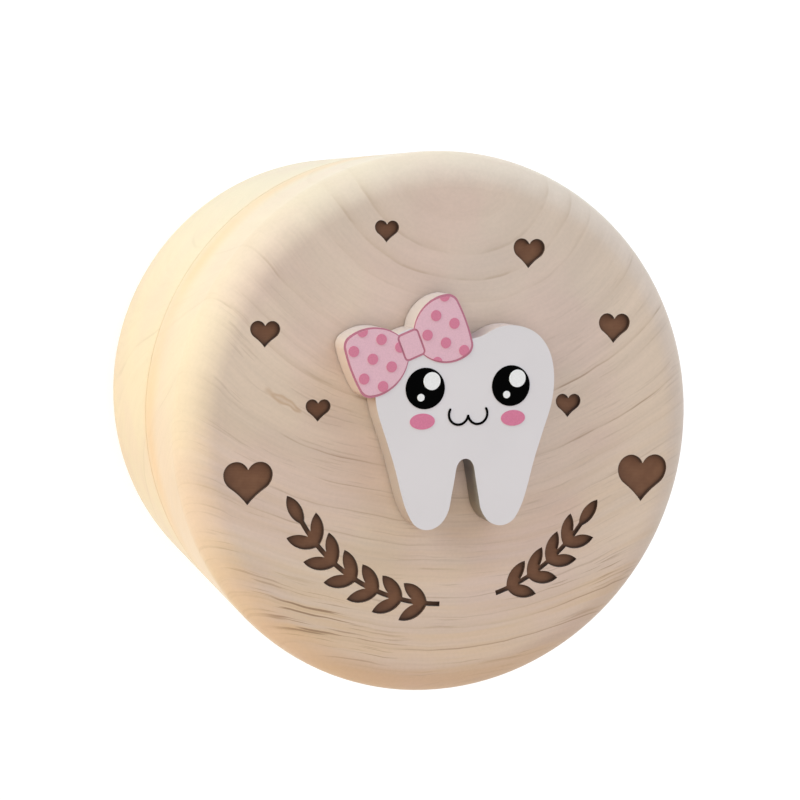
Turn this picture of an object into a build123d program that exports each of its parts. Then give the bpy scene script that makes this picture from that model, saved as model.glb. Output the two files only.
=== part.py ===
from build123d import *
import math
import os

os.makedirs("parts", exist_ok=True)

# Closed box, in millimetres. Z runs up from the base, Y runs up the picture on the lid.
outer_diameter = 60.0
cup_height = 26.0  # from the base to the line where the lid meets the cup
lid_height = 19.0  # from that line to the flat top of the lid
base_edge_radius = 3.6
top_edge_radius = 3.9
seam_bevel = 0.25  # on both sides of the parting line, and round the bore's mouth

# Cup
cup_wall = 7.0
cup_floor = 6.0

# Lid: a plug turned on its underside drops into the cup's bore
plug_length = 5.0
plug_clearance = 0.2  # between the plug and the bore, on the radius
plug_wall = 3.5
plug_lead_bevel = 0.8
plug_inner_bevel = 0.4
lid_crown = 7.0  # wood left between the hollow and the flat top

# Engraving in the lid's flat top
engraving_depth = 0.4
cut_overrun = 1.0
heart_width = 5.8
# Centre across and up, as shares of the lid's radius, then the width as a share of heart_width
heart_shares = [
    (-0.755, -0.180, 0.91),
    (0.780, -0.185, 1.07),
    (-0.710, 0.338, 0.55),
    (0.627, 0.380, 0.66),
    (-0.511, 0.073, 0.47),
    (0.454, 0.090, 0.52),
    (-0.282, 0.705, 0.46),
    (0.266, 0.646, 0.64),
]
# Half of a heart's outline, from its notch to its tip, as shares of its width
heart_notch_share = (0.0, 0.25)
heart_lobe_share = (0.265, 0.41)
heart_side_share = (0.5, 0.13)
heart_turn_share = (0.355, -0.12)  # here the flank starts to bend the other way
heart_tip_share = (0.0, -0.455)

# Two leafy sprigs follow the lid's lower edge
sprig_radius = 19.3
stem_width = 0.55
leaf_length = 3.7
leaf_width = 1.5
leaf_spread = 34.0  # degrees between a leaf and the stem
leaf_start_share = 0.5  # of one leaf step, kept bare at the foot of the stem
# Foot and tip of each stem, in degrees round the lid, and its pairs of leaves
sprigs = [(268.0, 207.0, 6), (288.0, 329.0, 4)]

# Tooth-shaped plaque
plaque_thickness = 3.0
plaque_tilt = 2.0  # degrees
plaque_shift = 0.2
plaque_rise = 0.65
glue_thickness = 0.15
glue_side_margin = 2.0
glue_end_margin = 2.0

crown_width = 20.5
tooth_height = 21.7
crown_swell_height = 4.8  # of the widest place, above the plaque's middle
cusp_spacing = 10.0
crown_dip = 1.4
root_spacing = 8.5
root_notch_height = 7.5
# Points down one side of the tooth, as shares of half its width and half its height, each with
# the outline's heading there, in degrees
shoulder_shares, shoulder_heading = (0.875, 0.835), -52.0
waist_shares, waist_heading = (0.815, -0.255), -108.0
root_side_shares, root_side_heading = (0.68, -0.715), -107.0
inner_root_shares, inner_root_heading = (0.166, -0.76), 99.0
notch_side_shares, notch_side_heading = (0.104, -0.42), 98.0

# Bow at the tooth's upper left corner
bow_tilt = 21.5  # degrees, in the plaque's own frame
bow_left = 6.25  # from the plaque's middle to the knot
bow_below_crown = 1.85
left_lobe_length = 7.15
right_lobe_length = 6.65
bow_height = 7.2
knot_width = 2.5
knot_height = 3.0
knot_corner_radius = 0.5
bow_corner_radius = 1.3
# Points along one lobe's upper edge, as shares of its length and half the bow's height
throat_shares = (0.1, 0.31)
lobe_crest_shares = (0.54, 0.98)
lobe_corner_shares = (0.96, 0.88)

# Printed layers
ink_thickness = 0.05
bow_line_width = 0.22
dot_diameter = 1.15
dot_column_step = 1.62
dot_row_step = 3.1
middle_dot = (2.0, 0.27)  # one dot of the grid, from the knot's centre
dot_columns = (-5, 2)  # first and last column, counted from that dot
dot_rows = 3  # in every other column, and one less between
eye_diameter = 4.4
eye_spacing = 9.8
eye_below_crown = 6.5
face_shift = 0.25
big_glint_diameter = 1.9
small_glint_diameter = 0.8
# Centres of the glints, as shares of the eye's radius
big_glint_shares = (0.33, 0.35)
small_glint_shares = (-0.23, -0.43)
cheek_width = 2.8
cheek_height = 1.7
cheek_spacing = 10.4
cheek_below_eyes = 3.5
mouth_line = 0.26
mouth_arc_radius = 1.1
mouth_outer_angle = 150.0  # degrees, where the left curl starts
mouth_arc_angle = 200.0
mouth_below_eyes = 2.9

# Sizes that follow from the ones above
outer_radius = outer_diameter / 2
bore_radius = outer_radius - cup_wall
plug_radius = bore_radius - plug_clearance
hollow_radius = plug_radius - plug_wall
lid_top = cup_height + lid_height
plug_end = cup_height - plug_length
hollow_top = lid_top - lid_crown
engraving_floor = lid_top - engraving_depth
plaque_back = lid_top + glue_thickness
plaque_face = plaque_back + plaque_thickness
half_crown = crown_width / 2
half_tooth = tooth_height / 2
solid_height = tooth_height - crown_dip - root_notch_height  # of the plaque, on its middle line
eye_radius = eye_diameter / 2
eye_level = half_tooth - eye_below_crown
print_top = plaque_face + ink_thickness


def share_point(shares, across, up):
    # A point given as shares of two sizes
    return (shares[0] * across, shares[1] * up)


def plaque_plane(height):
    # The plaque's own frame: its middle, turned by its slight tilt
    return Plane(Location((plaque_shift, plaque_rise, height), (0, 0, plaque_tilt)))


def bow_place():
    # The knot's centre and tilt, in the plaque's own frame
    return Location((-bow_left, half_tooth - bow_below_crown, 0), (0, 0, bow_tilt))


def heart(width):
    with BuildSketch(mode=Mode.PRIVATE) as outline:
        with BuildLine():
            side = share_point(heart_side_share, width, width)
            turn = share_point(heart_turn_share, width, width)
            lobe = ThreePointArc(
                share_point(heart_notch_share, width, width),
                share_point(heart_lobe_share, width, width),
                side,
            )
            flank = TangentArc(side, turn, tangent=lobe % 1)
            TangentArc(turn, share_point(heart_tip_share, width, width), tangent=flank % 1)
            mirror(about=Plane.YZ)
        make_face()
    return outline.sketch


def leaf():
    # An almond shape from its stalk at the origin out along X
    with BuildSketch(mode=Mode.PRIVATE) as outline:
        with BuildLine():
            ThreePointArc((0, 0), (leaf_length / 2, leaf_width / 2), (leaf_length, 0))
            ThreePointArc((leaf_length, 0), (leaf_length / 2, -leaf_width / 2), (0, 0))
        make_face()
    return outline.sketch


def sprig(foot, tip, pairs):
    # A curved stem round the lid's centre, with pairs of leaves and one more at the tip
    step = (tip - foot) / (pairs + 1)
    heading = math.copysign(90.0, tip - foot)
    leaves = []
    for pair in range(pairs + 1):
        angle = foot + step * (pair + leaf_start_share)
        x = sprig_radius * math.cos(math.radians(angle))
        y = sprig_radius * math.sin(math.radians(angle))
        spreads = (0.0,) if pair == pairs else (-leaf_spread, leaf_spread)
        leaves += [Location((x, y, 0), (0, 0, angle + heading + spread)) for spread in spreads]
    with BuildSketch(mode=Mode.PRIVATE) as ornament:
        with BuildLine():
            CenterArc((0, 0), sprig_radius, foot, tip - foot)
        trace(line_width=stem_width)
        with Locations(*leaves):
            add(leaf())
    return ornament.sketch


def two_arcs(start, start_heading, end, end_heading):
    # Two arcs that meet smoothly and follow the given heading, in degrees, at either end
    start, end = Vector(*start), Vector(*end)
    leaving = Vector(1, 0).rotate(Axis.Z, start_heading)
    arriving = Vector(1, 0).rotate(Axis.Z, end_heading)
    chord, both = end - start, leaving + arriving
    along = chord.dot(both)
    turn = 2 - 2 * leaving.dot(arriving)
    reach = chord.dot(chord) / (along + math.sqrt(along**2 + turn * chord.dot(chord)))
    meeting = (start + end + (leaving - arriving) * reach) / 2
    first = TangentArc(start, meeting, tangent=leaving)
    TangentArc(meeting, end, tangent=first % 1)


def tooth():
    # Crown with two cusps and two roots, mirrored about its middle
    right, down, left = 0.0, -90.0, 180.0
    stations = [
        ((0, half_tooth - crown_dip), right),
        ((cusp_spacing / 2, half_tooth), right),
        (share_point(shoulder_shares, half_crown, half_tooth), shoulder_heading),
        ((half_crown, crown_swell_height), down),
        (share_point(waist_shares, half_crown, half_tooth), waist_heading),
        (share_point(root_side_shares, half_crown, half_tooth), root_side_heading),
        ((root_spacing / 2, -half_tooth), left),
        (share_point(inner_root_shares, half_crown, half_tooth), inner_root_heading),
        (share_point(notch_side_shares, half_crown, half_tooth), notch_side_heading),
        ((0, root_notch_height - half_tooth), left),
    ]
    with BuildSketch(mode=Mode.PRIVATE) as outline:
        with BuildLine():
            for here, there in zip(stations, stations[1:]):
                two_arcs(*here, *there)
            mirror(about=Plane.YZ)
        make_face()
    return outline.sketch


def bow_lobe(length, inset=0.0):
    # One lobe, from the knot out along X, with rounded outer corners, as large as inset leaves it
    half_height = bow_height / 2
    throat = share_point(throat_shares, length, half_height)
    crest = share_point(lobe_crest_shares, length, half_height)
    corner = share_point(lobe_corner_shares, length, half_height)
    with BuildSketch(mode=Mode.PRIVATE) as outline:
        with BuildLine():
            top = ThreePointArc(
                (throat[0], throat[1] - inset),
                (crest[0], crest[1] - inset),
                (corner[0] - inset, corner[1] - inset),
            )
            ThreePointArc(top @ 1, (length - inset, 0), (corner[0] - inset, inset - corner[1]))
            mirror(top, about=Plane.XZ)
            Line((throat[0], inset - throat[1]), top @ 0)
        make_face()
        fillet(outline.vertices().group_by(Axis.X)[-1], bow_corner_radius - inset)
    return outline.sketch


def bow_lobes(inset=0.0):
    # The left lobe mirrored from its own length, then the right one
    with BuildSketch(mode=Mode.PRIVATE) as lobes:
        mirror(bow_lobe(left_lobe_length, inset), about=Plane.YZ)
        add(bow_lobe(right_lobe_length, inset))
    return lobes.sketch


def knot(inset=0.0):
    with BuildSketch(mode=Mode.PRIVATE) as outline:
        RectangleRounded(knot_width - 2 * inset, knot_height - 2 * inset, knot_corner_radius - inset)
    return outline.sketch


def polka_dots():
    # A staggered grid of dots, kept inside the two lobes
    first_column, last_column = dot_columns
    with BuildSketch(mode=Mode.PRIVATE) as dots:
        for column in range(first_column, last_column + 1):
            with Locations((middle_dot[0] + column * dot_column_step, middle_dot[1])):
                with GridLocations(dot_column_step, dot_row_step, 1, dot_rows - column % 2):
                    Circle(dot_diameter / 2)
        add(bow_lobes(bow_line_width), mode=Mode.INTERSECT)
        add(knot(), mode=Mode.SUBTRACT)
    return dots.sketch


def mouth_curl():
    # The left half of the mouth: a round-ended curl, open at the top
    with BuildSketch(mode=Mode.PRIVATE) as curl:
        with BuildLine():
            arc = CenterArc((-mouth_arc_radius, 0), mouth_arc_radius, mouth_outer_angle, mouth_arc_angle)
        trace(line_width=mouth_line)
        with Locations(arc @ 0, arc @ 1):
            Circle(mouth_line / 2)
    return curl.sketch


with BuildSketch(mode=Mode.PRIVATE) as bow:
    add([bow_lobes(), knot()])

# Cup: turned from one block and bored out with a flat floor
with BuildPart() as cup:
    with BuildSketch(Plane.XZ):
        with BuildLine():
            Polyline(
                (0, 0),
                (outer_radius, 0),
                (outer_radius, cup_height),
                (bore_radius, cup_height),
                (bore_radius, cup_floor),
                (0, cup_floor),
                close=True,
            )
        make_face()
    revolve(axis=Axis.Z)
    circles = cup.edges().filter_by(GeomType.CIRCLE).group_by(Axis.Z)
    fillet(circles[0], base_edge_radius)
    chamfer(circles[-1], seam_bevel)
cup.part.label = "cup"
export_step(cup.part, "parts/cup.step")

# Lid: turned hollow with its plug in one piece, then engraved
with BuildPart() as lid:
    with BuildSketch(Plane.XZ):
        with BuildLine():
            Polyline(
                (0, hollow_top),
                (hollow_radius, hollow_top),
                (hollow_radius, plug_end),
                (plug_radius, plug_end),
                (plug_radius, cup_height),
                (outer_radius, cup_height),
                (outer_radius, lid_top),
                (0, lid_top),
                close=True,
            )
        make_face()
    revolve(axis=Axis.Z)
    circles = lid.edges().filter_by(GeomType.CIRCLE).group_by(Axis.Z)
    fillet(circles[-1], top_edge_radius)
    chamfer(circles[0].sort_by(SortBy.RADIUS)[0], plug_inner_bevel)
    chamfer(circles[0].sort_by(SortBy.RADIUS)[-1], plug_lead_bevel)
    chamfer(circles[1].sort_by(SortBy.RADIUS)[-1], seam_bevel)
    with BuildSketch(Plane.XY.offset(engraving_floor)):
        for across_share, up_share, width_share in heart_shares:
            with Locations((across_share * outer_radius, up_share * outer_radius)):
                add(heart(width_share * heart_width))
        for foot, tip, pairs in sprigs:
            add(sprig(foot, tip, pairs))
    extrude(amount=engraving_depth + cut_overrun, mode=Mode.SUBTRACT)
lid.part.label = "lid"
export_step(lid.part, "parts/lid.step")

# Glue: one dab, pressed to an oval film between the crown's dip and the notch of the roots
with BuildPart() as plaque_glue:
    with BuildSketch(plaque_plane(lid_top)):
        with Locations((0, (root_notch_height - crown_dip) / 2)):
            Ellipse(half_crown - glue_side_margin, (solid_height - glue_end_margin) / 2)
    extrude(amount=glue_thickness)
plaque_glue.part.label = "plaque_glue"
export_step(plaque_glue.part, "parts/plaque_glue.step")

# Plaque: one flat plate with the outline of the tooth and its bow together
with BuildPart() as tooth_plaque:
    with BuildSketch(plaque_plane(plaque_back)):
        add(tooth())
        with Locations(bow_place()):
            add(bow.sketch)
    extrude(amount=plaque_thickness)
tooth_plaque.part.label = "tooth_plaque"
export_step(tooth_plaque.part, "parts/tooth_plaque.step")

# Printed bow: a darker field as large as the bow, then paler ones that leave its edge as a line
with BuildPart() as bow_line_print:
    with BuildSketch(plaque_plane(plaque_face)):
        with Locations(bow_place()):
            add(bow.sketch)
    extrude(amount=ink_thickness)
bow_line_print.part.label = "bow_line_print"
export_step(bow_line_print.part, "parts/bow_line_print.step")

with BuildPart() as bow_print:
    with BuildSketch(plaque_plane(print_top)):
        with Locations(bow_place()):
            add(bow_lobes(bow_line_width))
            add(knot(), mode=Mode.SUBTRACT)
            add(knot(bow_line_width))
    extrude(amount=ink_thickness)
bow_print.part.label = "bow_print"
export_step(bow_print.part, "parts/bow_print.step")

# Polka dots, kept off the drawn lines
with BuildPart() as bow_dot_print:
    with BuildSketch(plaque_plane(print_top + ink_thickness)):
        with Locations(bow_place()):
            add(polka_dots())
    extrude(amount=ink_thickness)
bow_dot_print.part.label = "bow_dot_print"
export_step(bow_dot_print.part, "parts/bow_dot_print.step")

# Printed eyes, level with each other, with the glints on top
with BuildPart() as eye_print:
    with BuildSketch(plaque_plane(plaque_face)):
        with Locations((face_shift, eye_level)):
            with GridLocations(eye_spacing, 0, 2, 1):
                Circle(eye_radius)
    extrude(amount=ink_thickness)
eye_print.part.label = "eye_print"
export_step(eye_print.part, "parts/eye_print.step")

with BuildPart() as eye_glint_print:
    with BuildSketch(plaque_plane(print_top)):
        with Locations((face_shift, eye_level)):
            with GridLocations(eye_spacing, 0, 2, 1):
                with Locations(share_point(big_glint_shares, eye_radius, eye_radius)):
                    Circle(big_glint_diameter / 2)
                with Locations(share_point(small_glint_shares, eye_radius, eye_radius)):
                    Circle(small_glint_diameter / 2)
    extrude(amount=ink_thickness)
eye_glint_print.part.label = "eye_glint_print"
export_step(eye_glint_print.part, "parts/eye_glint_print.step")

with BuildPart() as cheek_print:
    with BuildSketch(plaque_plane(plaque_face)):
        with Locations((face_shift, eye_level - cheek_below_eyes)):
            with GridLocations(cheek_spacing, 0, 2, 1):
                Ellipse(cheek_width / 2, cheek_height / 2)
    extrude(amount=ink_thickness)
cheek_print.part.label = "cheek_print"
export_step(cheek_print.part, "parts/cheek_print.step")

with BuildPart() as mouth_print:
    with BuildSketch(plaque_plane(plaque_face)):
        with Locations((face_shift, eye_level - mouth_below_eyes)):
            add([mouth_curl(), mirror(mouth_curl(), about=Plane.YZ, mode=Mode.PRIVATE)])
    extrude(amount=ink_thickness)
mouth_print.part.label = "mouth_print"
export_step(mouth_print.part, "parts/mouth_print.step")
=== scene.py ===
import math

import bpy
from mathutils import Matrix, Vector


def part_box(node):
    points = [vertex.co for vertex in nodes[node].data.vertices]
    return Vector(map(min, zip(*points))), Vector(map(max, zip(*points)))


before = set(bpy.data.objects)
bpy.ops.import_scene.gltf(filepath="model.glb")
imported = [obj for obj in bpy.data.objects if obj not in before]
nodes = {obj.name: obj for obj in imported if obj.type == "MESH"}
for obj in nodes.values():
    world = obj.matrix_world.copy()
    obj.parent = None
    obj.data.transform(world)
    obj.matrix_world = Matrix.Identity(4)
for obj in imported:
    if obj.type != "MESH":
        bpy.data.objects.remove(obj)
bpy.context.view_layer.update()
mm = 0.001
print("frame loaded:", len(nodes), "nodes")

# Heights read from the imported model, in metres
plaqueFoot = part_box("tooth_plaque")[0].z
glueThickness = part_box("plaque_glue")[1].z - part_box("plaque_glue")[0].z
lidFace = plaqueFoot - glueThickness


def dress(nodeName, material):
    nodes[nodeName].material_slots[0].material = material


def makeNode(tree, kind, **settings):
    made = tree.nodes.new("ShaderNode" + kind)
    for name, value in settings.items():
        setattr(made, name, value)
    return made


def feed(tree, socket, value):
    # a socket is linked, anything else becomes the socket's own value
    if isinstance(value, bpy.types.NodeSocket):
        tree.links.new(value, socket)
    else:
        socket.default_value = value


def calc(tree, operation, *values, clamp=False):
    made = makeNode(tree, "Math", operation=operation, use_clamp=clamp)
    for socket, value in zip(made.inputs, values):
        feed(tree, socket, value)
    return made.outputs[0]


def times(tree, first, *others):
    for other in others:
        first = calc(tree, "MULTIPLY", first, other)
    return first


def hypotenuse(tree, first, second):
    squares = calc(tree, "ADD", times(tree, first, first), times(tree, second, second))
    return calc(tree, "SQRT", squares)


def vector(tree, operation, *values):
    made = makeNode(tree, "VectorMath", operation=operation)
    for socket, value in zip(made.inputs, values):
        feed(tree, socket, value)
    return made.outputs["Value" if operation == "DOT_PRODUCT" else "Vector"]


def scaled(tree, source, factor):
    made = makeNode(tree, "VectorMath", operation="SCALE")
    feed(tree, made.inputs[0], source)
    feed(tree, made.inputs["Scale"], factor)
    return made.outputs["Vector"]


def axes(tree, source):
    split = makeNode(tree, "SeparateXYZ")
    feed(tree, split.inputs[0], source)
    return split.outputs


def ramp(tree, value, low, high, toLow, toHigh):
    # a soft step: toLow up to low, toHigh from high on
    made = makeNode(tree, "MapRange", interpolation_type="SMOOTHSTEP")
    names = ("Value", "From Min", "From Max", "To Min", "To Max")
    for name, amount in zip(names, (value, low, high, toLow, toHigh)):
        feed(tree, made.inputs[name], amount)
    return made.outputs["Result"]


def noise(tree, place, scale, detail, along=None, colour=False):
    made = makeNode(tree, "TexNoise", noise_dimensions="3D" if along is None else "4D")
    feed(tree, made.inputs["Vector"], place)
    if along is not None:
        feed(tree, made.inputs["W"], along)
    made.inputs["Scale"].default_value = scale
    made.inputs["Detail"].default_value = detail
    return made.outputs["Color" if colour else "Fac"]


def strayed(tree, place, scale, detail, distance):
    # moves a place by up to half the distance, the same way for its neighbours
    middle = (0.5, 0.5, 0.5)
    push = noise(tree, place, scale, detail, colour=True)
    push = vector(tree, "SUBTRACT", push, middle)
    return vector(tree, "ADD", place, scaled(tree, push, distance))


def mixed(tree, share, first, second, blend="MIX"):
    made = makeNode(tree, "Mix", data_type="RGBA", blend_type=blend)
    feed(tree, made.inputs["Factor"], share)
    feed(tree, made.inputs["A"], first)
    feed(tree, made.inputs["B"], second)
    return made.outputs["Result"]


def rgb(values):
    return (*values, 1.0)


def toned(tree, colour, tone):
    # a colour made lighter or darker by a number near 1
    grey = makeNode(tree, "CombineColor")
    for name in ("Red", "Green", "Blue"):
        feed(tree, grey.inputs[name], tone)
    return mixed(tree, 1.0, colour, grey.outputs["Color"], "MULTIPLY")


def clouded(tree, colour, cloud, tones):
    # tones are the darkest and the lightest; most of a noise lies between 0.3 and 0.7
    return toned(tree, colour, ramp(tree, cloud, 0.3, 0.7, *tones))


def newMaterial(name):
    material = bpy.data.materials.new(name)
    material.use_nodes = True
    tree = material.node_tree
    shader = next(n for n in tree.nodes if n.type == "BSDF_PRINCIPLED")
    return material, tree, shader


def bumped(tree, shader, height, depth):
    # height from 0 to 1, depth in millimetres
    bump = makeNode(tree, "Bump")
    bump.inputs["Strength"].default_value = 1.0
    bump.inputs["Distance"].default_value = depth * mm
    feed(tree, bump.inputs["Height"], height)
    tree.links.new(bump.outputs["Normal"], shader.inputs["Normal"])


def millimetres(tree):
    # the place on the object, in millimetres
    return scaled(tree, makeNode(tree, "TexCoord").outputs["Object"], 1 / mm)


def upward(tree):
    # 1 where a face looks straight up, 0 on a wall, -1 where it looks down
    return axes(tree, makeNode(tree, "TexCoord").outputs["Normal"])["Z"]


# Wood: growth rings round a pith, which slants down through the box from the lid's upper edge.
# Lengths are in millimetres. A noise has its scale and detail, four numbers are a soft step.
woodLook = {
    "pith": (-0.9, 29.5, 45.0),     # where the rings' centre meets the lid's top
    "fibre": (0.0, 0.54, 0.84),     # the way along the fibres, then two ways across them
    "ringSide": (1.0, 0.0, 0.0),
    "ringAcross": (0.0, 1.08, -0.70),       # longer than 1, so rings lie closer this way
    # how the rings stray, in large and in small: scale, detail and distance
    "wander": (0.035, 1.0, 3.0),
    "flutter": (0.16, 2.0, 0.6),
    "firstRing": 7.4,               # its radius
    "crowding": 1.64,               # rings lie closer further out
    "strongRings": (1, 2, 9, 13, 26, 28),   # counted from the pith
    "otherRings": (0.45, 0.95, 0.0, 0.5),   # these show by chance
    "weakestRing": 0.1,             # this much of the late wood shows in every ring
    # noise drawn out along the rings: turns round them, crowding outwards and detail
    "ringNoise": {
        "fine": (5.0, 3.4, 2.0),
        "broad": (1.6, 0.34, 2.0),
        "late": (1.7, 0.12, 1.0),
        "line": (3.4, 0.40, 2.0),
        "hairs": (7.5, 4.2, 1.5),
        "cluster": (4.0, 0.30, 1.0),
        "gold": (2.4, 0.85, 2.0),
    },
    "alongFibre": 0.06,             # that noise changes this slowly along the fibres
    # late wood darkens slowly within a ring, then ends at once
    "latePower": 4.0,
    "lateEnd": (0.93, 1.0, 1.0, 0.0),
    "lateBreaks": (0.38, 0.60, 0.25, 1.0),
    # a thin broken line closes each ring, fainter near the pith
    "lineStart": (0.82, 0.92, 0.0, 1.0),
    "lineEnd": (0.94, 1.0, 1.0, 0.0),
    "lineBreaks": (0.45, 0.62, 0.0, 1.0),
    "lineReach": (10.0, 28.0, 0.25, 1.0),
    # short dark fibres lie in clusters, thickest in one layer far out and rare near the pith
    "fibres": (0.58, 0.67, 0.0, 1.0),
    "fibreClusters": (0.40, 0.56, 0.0, 1.0),
    "fibreReach": (14.0, 34.0, 0.02, 0.22),
    "fibreLayer": 55.0,             # how far out the layer is
    "layerFade": (2.0, 9.0, 0.24, 0.0),
    # patches where the fibres crowd: middle, half length, heading in degrees and weight
    "fibrePatches": (
        ((-15.4, -20.1), 8.5, -20.0, 1.0),
        ((-8.5, -23.8), 6.0, -3.0, 0.60),
        ((18.5, -16.5), 5.0, 26.0, 0.7),
    ),
    "patchFlatness": 2.2,           # how much narrower than long a patch is
    "patchCore": 0.3,               # this much of it keeps its full weight
    "patchGain": 0.060,             # how much it lifts the fibres' noise, for more of them
    # ground colours: by the distance from the pith, then rosy blotches
    "heartWood": (0.590, 0.470, 0.392),
    "paleWood": (0.612, 0.480, 0.388),
    "paleReach": (10.0, 34.0, 0.0, 1.0),
    "outerWood": (0.590, 0.436, 0.338),
    "outerReach": (49.0, 60.0, 0.0, 1.0),
    "rosyWood": (0.600, 0.448, 0.385),
    "rosyNoise": (0.07, 3.0),
    "rosyBlotches": (0.42, 0.64, 0.0, 0.8),
    # a warmer band runs round the side
    "warmWood": (0.625, 0.408, 0.252),
    "bandHeight": 29.0,
    "bandWander": (0.05, 1.0, 4.0),
    "bandFade": (0.0, 5.5, 0.78, 0.0),
    "bandNoise": (0.045, 2.0),
    "bandBreaks": (0.34, 0.58, 0.40, 1.0),
    # the figure's tones and colours
    "broadTone": (0.3, 0.7, 0.045, -0.05),
    "fineTone": (0.3, 0.7, 0.02, -0.03),
    "toneReach": (8.0, 30.0, 0.5, 1.0),
    "goldWood": (0.600, 0.405, 0.235),
    "goldStreaks": (0.40, 0.62, 0.0, 1.0),
    "goldReach": (30.0, 60.0, 0.0, 0.6),
    "goldShare": 0.55,
    "lateWood": (0.450, 0.318, 0.225),
    "lateShare": 0.50,
    "streakWood": (0.255, 0.152, 0.090),
    "fibreShare": 0.80,
    "lineShare": 0.55,
    "figureShown": (0.68, 0.995, 0.34, 1.0),    # from walls to level faces
    "speckNoise": (2.6, 2.0),
    "speckTones": (0.985, 1.015),
    # surface
    "specular": 0.2,
    "sheen": 0.30,
    "sheenRoughness": 0.35,
    "roughness": 0.56,
    "fineRoughness": 0.12,          # what the fine noise adds to it
    "bumpDepth": 0.008,
    "bumpShares": {"fine": 0.25, "speck": 0.3, "streaks": -0.5, "tool": 0.7},
    "toolMarks": 1.1,               # turning marks to a millimetre
    "toolDetail": 3.0,
    "toolLevel": (0.5, 0.9, 0.0, 1.0),      # marks follow the radius on level faces
}
# the cup's block of wood is a little yellower and lighter than the lid's, partly its own wood and
# partly painted light for its lower side, and its rings stand apart from them
cupLook = dict(
    woodLook,
    pith=(-0.4, 29.8, 44.6),
    heartWood=(0.595, 0.481, 0.388),
    paleWood=(0.617, 0.491, 0.380),
    outerWood=(0.598, 0.449, 0.340),
    rosyWood=(0.606, 0.460, 0.378),
)


def ringField(tree, look, place):
    # direction round the pith, way along the fibres and distance from the pith
    bent = strayed(tree, place, *look["wander"])
    bent = strayed(tree, bent, *look["flutter"])
    away = vector(tree, "SUBTRACT", bent, look["pith"])
    across = vector(tree, "DOT_PRODUCT", away, look["ringAcross"])
    side = vector(tree, "DOT_PRODUCT", away, look["ringSide"])
    along = vector(tree, "DOT_PRODUCT", away, look["fibre"])
    squares = calc(tree, "ADD", times(tree, across, across), times(tree, side, side))
    distance = calc(tree, "SQRT", calc(tree, "ADD", squares, 0.01))    # never 0, since it divides
    across = calc(tree, "DIVIDE", across, distance)
    side = calc(tree, "DIVIDE", side, distance)
    return across, side, along, distance


def noiseAlongRings(tree, look, field, kind):
    across, side, along, distance = field
    turns, crowding, detail = look["ringNoise"][kind]
    stretch = makeNode(tree, "CombineXYZ")
    for name, source, factor in (("X", across, turns), ("Y", side, turns), ("Z", distance, crowding)):
        feed(tree, stretch.inputs[name], times(tree, source, factor))
    drift = times(tree, along, look["alongFibre"])
    return noise(tree, stretch.outputs[0], 1.0, detail, along=drift)


def growthRings(tree, look, field):
    # the late wood of each ring and the line that closes it
    *_, distance = field
    rings = calc(tree, "DIVIDE", distance, look["firstRing"])
    rings = calc(tree, "POWER", rings, look["crowding"])
    part = calc(tree, "FRACT", rings)
    ringNumber = calc(tree, "FLOOR", rings)
    chance = makeNode(tree, "TexWhiteNoise", noise_dimensions="1D")
    feed(tree, chance.inputs["W"], ringNumber)
    strong = ramp(tree, chance.outputs["Value"], *look["otherRings"])
    for number in look["strongRings"]:
        match = calc(tree, "COMPARE", ringNumber, float(number), 0.5)
        strong = calc(tree, "MAXIMUM", strong, match)
    weakest = look["weakestRing"]
    late = times(
        tree,
        calc(tree, "POWER", part, look["latePower"]),
        ramp(tree, part, *look["lateEnd"]),
        calc(tree, "MULTIPLY_ADD", strong, 1.0 - weakest, weakest),
        ramp(tree, noiseAlongRings(tree, look, field, "late"), *look["lateBreaks"]),
    )
    line = times(
        tree,
        ramp(tree, part, *look["lineStart"]),
        ramp(tree, part, *look["lineEnd"]),
        ramp(tree, noiseAlongRings(tree, look, field, "line"), *look["lineBreaks"]),
        strong,
        ramp(tree, distance, *look["lineReach"]),
    )
    return late, line


def patchWeight(tree, look, place):
    patches = 0.0
    for middle, reach, heading, weight in look["fibrePatches"]:
        turn = math.radians(heading)
        away = vector(tree, "SUBTRACT", place, (*middle, 0.0))
        lengthwise = vector(tree, "DOT_PRODUCT", away, (math.cos(turn), math.sin(turn), 0.0))
        crosswise = vector(tree, "DOT_PRODUCT", away, (-math.sin(turn), math.cos(turn), 0.0))
        crosswise = times(tree, crosswise, look["patchFlatness"])
        away = hypotenuse(tree, lengthwise, crosswise)
        patch = ramp(tree, away, reach * look["patchCore"], reach, weight, 0.0)
        patches = calc(tree, "MAXIMUM", patches, patch)
    return patches


def darkFibres(tree, look, field, patches):
    *_, distance = field
    offLayer = calc(tree, "ABSOLUTE", calc(tree, "SUBTRACT", distance, look["fibreLayer"]))
    crowd = calc(
        tree,
        "ADD",
        ramp(tree, offLayer, *look["layerFade"]),
        ramp(tree, distance, *look["fibreReach"]),
    )
    clusters = ramp(tree, noiseAlongRings(tree, look, field, "cluster"), *look["fibreClusters"])
    crowd = calc(tree, "MAXIMUM", times(tree, clusters, crowd), patches)
    hairs = noiseAlongRings(tree, look, field, "hairs")
    hairs = calc(tree, "MULTIPLY_ADD", patches, look["patchGain"], hairs)
    return times(tree, ramp(tree, hairs, *look["fibres"]), crowd)


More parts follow.
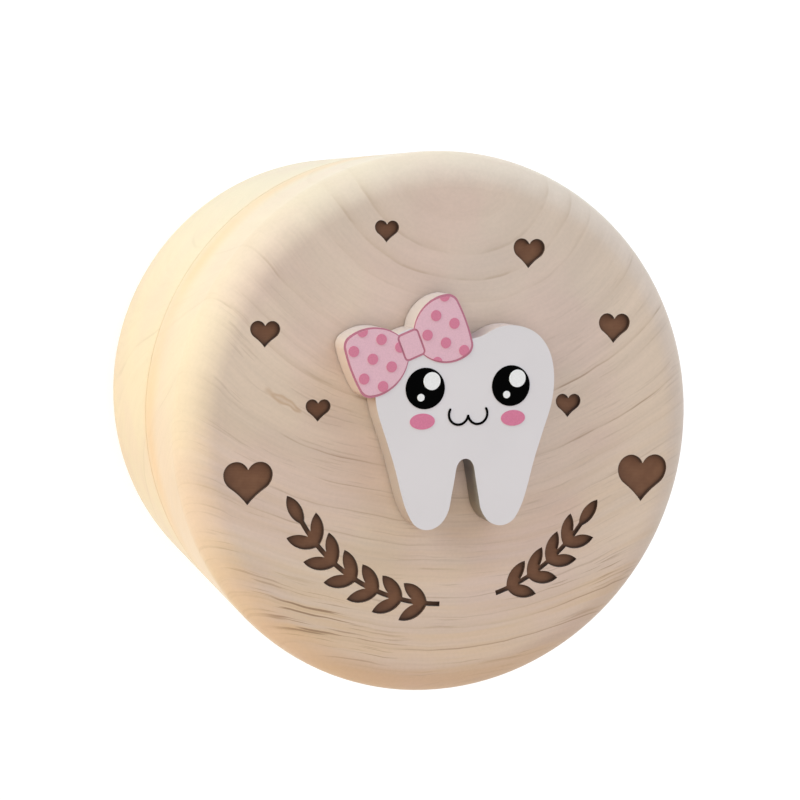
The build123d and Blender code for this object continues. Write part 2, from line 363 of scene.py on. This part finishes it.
def groundColour(tree, look, place, distance):
    ground = rgb(look["heartWood"])
    ground = mixed(tree, ramp(tree, distance, *look["paleReach"]), ground, rgb(look["paleWood"]))
    ground = mixed(tree, ramp(tree, distance, *look["outerReach"]), ground, rgb(look["outerWood"]))
    rosy = ramp(tree, noise(tree, place, *look["rosyNoise"]), *look["rosyBlotches"])
    ground = mixed(tree, rosy, ground, rgb(look["rosyWood"]))
    height = axes(tree, strayed(tree, place, *look["bandWander"]))["Z"]
    offBand = calc(tree, "ABSOLUTE", calc(tree, "SUBTRACT", height, look["bandHeight"]))
    breaks = ramp(tree, noise(tree, place, *look["bandNoise"]), *look["bandBreaks"])
    band = times(tree, ramp(tree, offBand, *look["bandFade"]), breaks)
    return mixed(tree, band, ground, rgb(look["warmWood"]))


def woodColour(tree, look, place, level):
    # the wood's colour, and the fine noise, specks and dark streaks for its bump
    field = ringField(tree, look, place)
    *_, distance = field
    fine = noiseAlongRings(tree, look, field, "fine")
    broad = noiseAlongRings(tree, look, field, "broad")
    late, line = growthRings(tree, look, field)
    patches = patchWeight(tree, look, place)
    hairs = darkFibres(tree, look, field, patches)
    goldReach = calc(tree, "MAXIMUM", ramp(tree, distance, *look["goldReach"]), patches)
    gold = ramp(tree, noiseAlongRings(tree, look, field, "gold"), *look["goldStreaks"])
    gold = times(tree, gold, goldReach)

    shown = ramp(tree, level, *look["figureShown"])
    tone = calc(tree, "ADD", ramp(tree, broad, *look["broadTone"]), ramp(tree, fine, *look["fineTone"]))
    tone = times(tree, tone, ramp(tree, distance, *look["toneReach"]))
    tone = calc(tree, "MULTIPLY_ADD", tone, shown, 1.0)
    colour = toned(tree, groundColour(tree, look, place, distance), tone)
    for source, share, wood in (
        (gold, "goldShare", "goldWood"),
        (late, "lateShare", "lateWood"),
        (hairs, "fibreShare", "streakWood"),
        (line, "lineShare", "streakWood"),
    ):
        strength = calc(tree, "MULTIPLY", times(tree, source, shown), look[share], clamp=True)
        colour = mixed(tree, strength, colour, rgb(look[wood]))
    speck = noise(tree, place, *look["speckNoise"])
    colour = clouded(tree, colour, speck, look["speckTones"])
    return colour, fine, speck, calc(tree, "MAXIMUM", hairs, line)


# A short brown streak left by a pin knot in the lid's top, in millimetres
knotLook = {
    "middle": (-19.0, 2.9, 45.0),
    "course": (0.84, -0.55),
    "wander": (0.40, 1.0, 2.0),
    "halfLength": 1.2,
    "taper": 0.35,                  # the ends run out this much more slowly than the sides
    "rim": 0.26,                    # the streak is darkest this far from its middle line
    "width": 0.48,
    "middleShare": 0.207,
    "rimShare": 0.46,
    "colour": (0.380, 0.215, 0.110),
}


def knotted(tree, look, colour, place):
    away = vector(tree, "SUBTRACT", strayed(tree, place, *look["wander"]), look["middle"])
    courseX, courseY = look["course"]
    lengthwise = vector(tree, "DOT_PRODUCT", away, (courseX, courseY, 0.0))
    crosswise = vector(tree, "DOT_PRODUCT", away, (courseY, -courseX, 0.0))
    beyond = calc(tree, "SUBTRACT", calc(tree, "ABSOLUTE", lengthwise), look["halfLength"])
    beyond = times(tree, calc(tree, "MAXIMUM", beyond, 0.0), look["taper"])
    away = hypotenuse(tree, beyond, crosswise)
    inner = ramp(tree, away, 0.0, look["rim"], look["middleShare"], look["rimShare"])
    share = times(tree, inner, ramp(tree, away, look["rim"], look["width"], 1.0, 0.0))
    return mixed(tree, share, colour, rgb(look["colour"]))


# Engraving in the lid: the laser's brown, and painted shade near its walls, in millimetres
burnLook = {
    "reach": 27.5,                  # the engraving keeps inside this radius
    "depth": 0.4,
    "slack": 0.03,                  # how far off its floor still counts as floor
    "wallLevel": 0.5,               # a face less level than this is a wall
    "colour": (0.172, 0.078, 0.041),
    "deepColour": (0.138, 0.060, 0.031),
    "scorchNoise": (0.9, 3.0),
    "scorch": (0.25, 0.8, 0.0, 1.0),
    "lineStep": 0.16,               # between the laser's lines
    "lineShare": 0.12,
    "lineBump": 0.3,
    # painted shade near the engraving's walls: its colour, how far it reaches, its fade and its samples
    "rimShadeColour": (0.062, 0.030, 0.018),
    "rimShadeWidth": 0.9,                # the floor is darker this near the engraving's walls
    "rimShadeFade": (0.50, 0.95, 0.0, 1.0),
    "rimShadeSamples": 12,
}


def burntAndShaded(tree, look, colour, place, radius, level):
    # the colour with its engraving, painted shade along the engraving's walls, and the laser's lines
    # for the bump
    _, y, z = axes(tree, place)
    floorHeight = lidFace / mm - look["depth"]
    inside = calc(tree, "LESS_THAN", radius, look["reach"])
    notUnder = calc(tree, "GREATER_THAN", z, floorHeight - look["slack"])
    onFloor = calc(tree, "LESS_THAN", z, floorHeight + look["slack"])
    onWall = calc(tree, "LESS_THAN", level, look["wallLevel"])
    recess = times(tree, inside, notUnder, calc(tree, "MAXIMUM", onFloor, onWall))
    lines = calc(tree, "SINE", times(tree, y, 2 * math.pi / look["lineStep"]))
    scorch = noise(tree, place, *look["scorchNoise"])
    scorch = calc(tree, "MULTIPLY_ADD", lines, look["lineShare"], scorch)
    scorch = ramp(tree, scorch, *look["scorch"])
    burnAndShade = mixed(tree, scorch, rgb(look["deepColour"]), rgb(look["colour"]))
    # painted shade: ambient occlusion darkens the engraving's floor where it meets the walls
    corner = makeNode(tree, "AmbientOcclusion", samples=look["rimShadeSamples"], only_local=True)
    corner.inputs["Distance"].default_value = look["rimShadeWidth"] * mm
    clear = ramp(tree, corner.outputs["AO"], *look["rimShadeFade"])
    burnAndShade = mixed(tree, clear, rgb(look["rimShadeColour"]), burnAndShade)
    return mixed(tree, recess, colour, burnAndShade), times(tree, lines, recess)


def turningMarks(tree, look, radius, height, level):
    # marks of the turning tool run round the box
    track = calc(tree, "ADD", times(tree, radius, ramp(tree, level, *look["toolLevel"])), height)
    marks = makeNode(tree, "TexNoise", noise_dimensions="1D")
    feed(tree, marks.inputs["W"], times(tree, track, look["toolMarks"]))
    marks.inputs["Scale"].default_value = 1.0
    marks.inputs["Detail"].default_value = look["toolDetail"]
    return marks.outputs["Fac"]


def woodMaterial(name, look, engraved=False):
    material, tree, shader = newMaterial(name)
    place = millimetres(tree)
    x, y, z = axes(tree, place)
    radius = hypotenuse(tree, x, y)
    level = calc(tree, "ABSOLUTE", upward(tree))    # 1 on level faces, 0 on walls
    colour, fine, speck, streaks = woodColour(tree, look, place, level)
    relief = 0.0
    for kind, source in (
        ("fine", fine),
        ("speck", speck),
        ("streaks", streaks),
        ("tool", turningMarks(tree, look, radius, z, level)),
    ):
        relief = calc(tree, "MULTIPLY_ADD", source, look["bumpShares"][kind], relief)
    if engraved:
        colour = knotted(tree, knotLook, colour, place)
        colour, lines = burntAndShaded(tree, burnLook, colour, place, radius, level)
        relief = calc(tree, "MULTIPLY_ADD", lines, burnLook["lineBump"], relief)
    roughness = calc(tree, "MULTIPLY_ADD", fine, look["fineRoughness"], look["roughness"])
    tree.links.new(colour, shader.inputs["Base Color"])
    tree.links.new(roughness, shader.inputs["Roughness"])
    shader.inputs["Specular IOR Level"].default_value = look["specular"]
    shader.inputs["Sheen Weight"].default_value = look["sheen"]
    shader.inputs["Sheen Roughness"].default_value = look["sheenRoughness"]
    bumped(tree, shader, relief, look["bumpDepth"])
    return material


dress("cup", woodMaterial("cupWood", cupLook))
dress("lid", woodMaterial("lidWood", woodLook, engraved=True))
print("wood done")

# White painted plaque with paler brown cut sides, and painted shade on those sides in and near the
# narrow cut between the roots, in millimetres
plaqueLook = {
    "paint": (0.644, 0.598, 0.618),
    "paintNoise": (0.12, 3.0),
    "paintTones": (0.985, 1.015),
    "painted": (0.3, 0.7, 0.0, 1.0),        # from the sides to the face
    "side": (0.520, 0.402, 0.388),
    # painted shade: the cut sides darken to this colour in and near the cut between the roots
    "shadedSide": (0.218, 0.195, 0.192),
    "notch": (1.4, -6.6, 0.0),      # the narrow cut between the roots
    "notchShadeReach": (4.2, 5.88, 1.0, 0.0),
    "shadeHazeReach": (11.7, 18.0, 0.42, 0.0),
    "roughness": 0.52,
    "specular": 0.25,
    "bumpNoise": (1.8, 3.0),
    "bumpDepth": 0.006,
}


def plaqueMaterial(look):
    material, tree, shader = newMaterial("whitePaint")
    place = millimetres(tree)
    cloud = noise(tree, place, *look["paintNoise"])
    paint = clouded(tree, rgb(look["paint"]), cloud, look["paintTones"])
    # painted shade: the cut sides darken in the narrow cut between the roots, and more faintly further
    # out
    away = vector(tree, "SUBTRACT", place, look["notch"])
    away = vector(tree, "MULTIPLY", away, (1.0, 1.0, 0.0))
    away = calc(tree, "SQRT", vector(tree, "DOT_PRODUCT", away, away))
    notchShade = ramp(tree, away, *look["notchShadeReach"])
    shadeHaze = ramp(tree, away, *look["shadeHazeReach"])
    paintedShade = calc(tree, "MAXIMUM", notchShade, shadeHaze)
    side = mixed(tree, paintedShade, rgb(look["side"]), rgb(look["shadedSide"]))
    colour = mixed(tree, ramp(tree, upward(tree), *look["painted"]), side, paint)
    tree.links.new(colour, shader.inputs["Base Color"])
    shader.inputs["Roughness"].default_value = look["roughness"]
    shader.inputs["Specular IOR Level"].default_value = look["specular"]
    bumped(tree, shader, noise(tree, place, *look["bumpNoise"]), look["bumpDepth"])
    return material


dress("tooth_plaque", plaqueMaterial(plaqueLook))
print("plaque done")

# Printed inks: a thin even film with a faint grain
inkLook = {
    # node, material, colour and roughness
    "films": (
        ("bow_line_print", "bowLineInk", (0.470, 0.180, 0.245), 0.40),
        ("bow_print", "bowInk", (0.680, 0.420, 0.490), 0.40),
        ("bow_dot_print", "bowDotInk", (0.590, 0.196, 0.290), 0.40),
        ("cheek_print", "cheekInk", (0.610, 0.190, 0.300), 0.40),
        ("eye_print", "eyeInk", (0.0014, 0.0014, 0.0014), 0.60),
        ("mouth_print", "mouthInk", (0.002, 0.002, 0.002), 0.60),
        ("eye_glint_print", "eyeGlintInk", (0.760, 0.740, 0.750), 0.40),
    ),
    "grain": (7.0, 2.0),
    "grainTones": (0.96, 1.04),
    "specular": 0.005,
    "bumpDepth": 0.004,             # mm
}


def inkMaterial(name, colour, roughness, look):
    material, tree, shader = newMaterial(name)
    grain = noise(tree, millimetres(tree), *look["grain"])
    inked = clouded(tree, rgb(colour), grain, look["grainTones"])
    tree.links.new(inked, shader.inputs["Base Color"])
    shader.inputs["Roughness"].default_value = roughness
    shader.inputs["Specular IOR Level"].default_value = look["specular"]
    bumped(tree, shader, grain, look["bumpDepth"])
    return material


for nodeName, inkName, inkColour, inkRoughness in inkLook["films"]:
    dress(nodeName, inkMaterial(inkName, inkColour, inkRoughness, inkLook))

# Clear glue between the plaque and the lid
glueLook = {
    "tint": (0.900, 0.860, 0.760),
    "cloud": (0.8, 2.0),
    "cloudTones": (0.92, 1.0),
    "roughness": 0.25,
    "clearness": 0.85,
}


def glueMaterial(look):
    material, tree, shader = newMaterial("clearGlue")
    cloud = noise(tree, millimetres(tree), *look["cloud"])
    tint = clouded(tree, rgb(look["tint"]), cloud, look["cloudTones"])
    tree.links.new(tint, shader.inputs["Base Color"])
    shader.inputs["Roughness"].default_value = look["roughness"]
    shader.inputs["Transmission Weight"].default_value = look["clearness"]
    return material


dress("plaque_glue", glueMaterial(glueLook))
print("inks and glue done")

# Camera at the photograph's angle
cameraLook = {
    "place": (-62.14, 21.92, 200.45),       # mm
    "facing": (0.33627, -0.11236, -0.93504),
    "lens": 70.0,
    "sensor": 36.0,
    "clipStart": 0.005,             # metres
}


def placeCamera(look):
    camera = bpy.data.objects.new("camera", bpy.data.cameras.new("camera"))
    bpy.context.scene.collection.objects.link(camera)
    back = -Vector(look["facing"]).normalized()
    up = back.cross(Vector((1, 0, 0))).normalized()
    turned = Matrix((up.cross(back), up, back)).transposed().to_4x4()
    camera.matrix_world = Matrix.Translation(Vector(look["place"]) * mm) @ turned
    camera.data.lens = look["lens"]
    camera.data.sensor_width = look["sensor"]
    camera.data.clip_start = look["clipStart"]
    bpy.context.scene.camera = camera


placeCamera(cameraLook)

# Studio: soft lamps, an even sky and a white floor that keeps the shadow
studioLook = {
    "sky": (1.0, 0.985, 0.98),
    "skyStrength": 0.45,
    "seenSkyStrength": 1.02,
    "floorSize": 4.0,               # metres
    "floorColour": (0.82, 0.77, 0.65),
    "seenFloorColour": (0.40, 0.40, 0.40),
    # the floor's glow grows away from the lamps, so that it stays as white there
    "floorGlow": (0.25, 1.1, 0.71, 0.86),
    # name, place and size in metres, strength in watts, colour
    "lamps": (
        ("sideKey", (-0.50, 0.34, 0.045), 0.50, 6.3, (0.84, 1.0, 0.86)),
        ("lowFill", (-0.42, -0.38, 0.06), 0.50, 1.7, (1.0, 0.57, 0.0)),
        ("overhead", (0.00, -0.22, 0.88), 0.80, 2.55, (1.0, 0.990, 0.950)),
        ("coolFill", (0.40, 0.48, 0.16), 0.80, 4.3, (0.58, 0.76, 0.95)),
    ),
}


def seenRays(tree):
    # 1 for rays that reach the eye straight, by a mirror or through glass
    path = makeNode(tree, "LightPath")
    seen = calc(tree, "MAXIMUM", path.outputs["Is Camera Ray"], path.outputs["Is Glossy Ray"])
    return calc(tree, "MAXIMUM", seen, path.outputs["Is Transmission Ray"])


def floorMaterial(look):
    material = bpy.data.materials.new("floorPaper")
    material.use_nodes = True
    tree = material.node_tree
    tree.nodes.clear()
    seen = seenRays(tree)
    paper = makeNode(tree, "BsdfDiffuse")
    colour = mixed(tree, seen, rgb(look["floorColour"]), rgb(look["seenFloorColour"]))
    feed(tree, paper.inputs["Color"], colour)
    place = makeNode(tree, "TexCoord").outputs["Object"]
    away = calc(tree, "SQRT", vector(tree, "DOT_PRODUCT", place, place))
    glow = makeNode(tree, "Emission")
    feed(tree, glow.inputs["Strength"], times(tree, seen, ramp(tree, away, *look["floorGlow"])))
    both = makeNode(tree, "AddShader")
    tree.links.new(paper.outputs[0], both.inputs[0])
    tree.links.new(glow.outputs[0], both.inputs[1])
    out = makeNode(tree, "OutputMaterial")
    tree.links.new(both.outputs[0], out.inputs["Surface"])
    return material


def makeFloor(look):
    half = look["floorSize"] / 2
    corners = [(-half, -half, 0), (half, -half, 0), (half, half, 0), (-half, half, 0)]
    mesh = bpy.data.meshes.new("floor")
    mesh.from_pydata(corners, [], [(0, 1, 2, 3)])
    mesh.materials.append(floorMaterial(look))
    floor = bpy.data.objects.new("floor", mesh)
    bpy.context.scene.collection.objects.link(floor)


def makeSky(look):
    world = bpy.data.worlds.new("studio")
    bpy.context.scene.world = world
    world.use_nodes = True
    tree = world.node_tree
    background = next(n for n in tree.nodes if n.type == "BACKGROUND")
    background.inputs["Color"].default_value = rgb(look["sky"])
    strength = ramp(tree, seenRays(tree), 0.0, 1.0, look["skyStrength"], look["seenSkyStrength"])
    feed(tree, background.inputs["Strength"], strength)


def makeLamps(look):
    target = Vector((0, 0, plaqueFoot / 2))
    for name, place, size, watts, colour in look["lamps"]:
        lamp = bpy.data.lights.new(name, "AREA")
        lamp.shape = "DISK"
        lamp.size = size
        lamp.energy = watts
        lamp.color = colour
        holder = bpy.data.objects.new(name, lamp)
        bpy.context.scene.collection.objects.link(holder)
        holder.location = place
        holder.rotation_euler = (target - Vector(place)).to_track_quat("-Z", "Y").to_euler()
        holder.visible_camera = False


makeFloor(studioLook)
makeSky(studioLook)
makeLamps(studioLook)
bpy.context.scene.view_settings.view_transform = "Standard"
print("camera and studio done")
